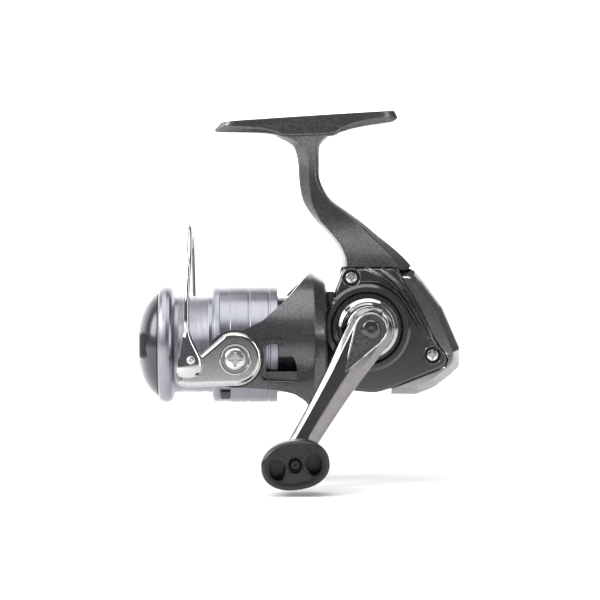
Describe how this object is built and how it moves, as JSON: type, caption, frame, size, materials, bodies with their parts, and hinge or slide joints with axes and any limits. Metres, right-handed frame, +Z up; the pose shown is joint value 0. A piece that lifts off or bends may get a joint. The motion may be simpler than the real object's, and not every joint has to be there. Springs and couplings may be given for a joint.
{
  "type": "spinning reel",
  "caption": "Open-face fixed-spool fishing reel with a rotor, folding bail, sliding spool, front drag knob and crank handle.",
  "frame": {"origin": "middle of the foot's flat seat, where the rod rests", "axes": "+X to the reel's rear along the spool axis, -X is where the spool and drag knob face; -Y is the handle's side; +Z up towards the rod"},
  "size_m": [0.1109, 0.0929, 0.1255],
  "materials": {
    "graphite_paint": "dark graphite metallic paint, satin",
    "gloss_graphite": "dark metallic, high gloss",
    "dark_chrome": "dark chrome plate",
    "chrome_plate": "mirror chrome",
    "turned_aluminium": "satin, turned",
    "knob_lacquer": "gunmetal lacquer",
    "grip_plastic": "satin black",
    "steel": "bright steel",
    "brass": "machined",
    "zinc_alloy": "die-cast zinc, machined",
    "black_plastic": "matt black",
    "felt": "oiled felt"
  },
  "bodies": {
    "body": {"body_frame": "graphite_paint", "side_cover": "gloss_graphite", "rear_cover": "dark_chrome", "cover_screw_top": "steel", "cover_screw_rear": "steel", "cover_screw_bottom": "steel", "rear_cover_screw": "steel", "crank_bearing_near": "steel", "crank_bearing_far": "steel", "pinion_bearing": "steel", "clutch_housing": "zinc_alloy", "clutch_rollers": "steel", "clutch_retainer": "steel"},
    "crank": {"handle_shaft": "steel", "drive_gear": "zinc_alloy", "oscillation_drive_gear": "brass", "handle_arm": "dark_chrome", "handle_hub": "chrome_plate", "handle_bolt": "gloss_graphite", "handle_screw_cap": "gloss_graphite", "knob_spindle": "steel", "knob_screw": "steel"},
    "knob": {"handle_knob": "grip_plastic"},
    "oscillating_gear": {"oscillating_gear": "zinc_alloy"},
    "rotor": {"rotor": "graphite_paint", "pinion_gear": "brass", "clutch_sleeve": "steel", "rotor_nut": "steel", "rotor_nut_lock": "steel", "bail_spring": "steel", "bail_pivot_screw_near": "steel", "bail_pivot_screw_far": "steel"},
    "bail": {"bail_arm": "chrome_plate", "bail_wire": "chrome_plate", "bail_holder": "gloss_graphite", "roller_bush": "brass", "roller_pin": "steel"},
    "line_roller": {"line_roller": "chrome_plate"},
    "main_shaft": {"main_shaft": "steel", "oscillation_slider": "zinc_alloy", "slider_screw": "steel", "spool_seat": "zinc_alloy", "drag_washer_keyed": "steel", "drag_pressure_washer": "steel", "drag_spring": "steel"},
    "spool": {"spool": "turned_aluminium", "line_clip": "black_plastic", "drag_washer_felt_rear": "felt", "drag_washer_felt_front": "felt", "spool_retaining_ring": "steel"},
    "drag_knob": {"drag_knob": "knob_lacquer", "drag_knob_nut": "brass"}
  },
  "joints": [
    {"name": "crank_turn", "type": "hinge", "parent": "body", "child": "crank", "pos_m": [0.0198, 0, -0.072], "axis": [0, 1, 0], "continuous": true},
    {"name": "rotor_spin", "type": "hinge", "parent": "body", "child": "rotor", "pos_m": [-0.0102, 0, -0.0778], "axis": [1, 0, 0], "continuous": true},
    {"name": "oscillating_gear_spin", "type": "hinge", "parent": "body", "child": "oscillating_gear", "pos_m": [0.0314, -0.0073, -0.079], "axis": [0, 1, 0], "continuous": true},
    {"name": "spool_stroke", "type": "slide", "parent": "body", "child": "main_shaft", "axis": [1, 0, 0], "range_m": [-0.0062, 0.0038]},
    {"name": "spool_drag_slip", "type": "hinge", "parent": "main_shaft", "child": "spool", "pos_m": [-0.0302, 0, -0.0778], "axis": [1, 0, 0], "continuous": true},
    {"name": "drag_knob_turn", "type": "hinge", "parent": "main_shaft", "child": "drag_knob", "pos_m": [-0.0542, 0, -0.0778], "axis": [1, 0, 0], "range_deg": [-720, 360]},
    {"name": "bail_flip", "type": "hinge", "parent": "rotor", "child": "bail", "pos_m": [-0.025, 0, -0.082], "axis": [0, -1, 0], "range_deg": [0, 100], "deforming": ["bail_spring"]},
    {"name": "line_roller_spin", "type": "hinge", "parent": "bail", "child": "line_roller", "pos_m": [-0.0397, -0.025, -0.0823], "axis": [0, 1, 0], "continuous": true},
    {"name": "knob_spin", "type": "hinge", "parent": "crank", "child": "knob", "pos_m": [-0.00606, -0.05, -0.1148], "axis": [0, 1, 0], "continuous": true}
  ],
  "couplings": [
    {"joint": "rotor_spin", "follows": "crank_turn", "ratio": 5.2222},
    {"joint": "oscillating_gear_spin", "follows": "crank_turn", "ratio": -0.6875}
  ]
}
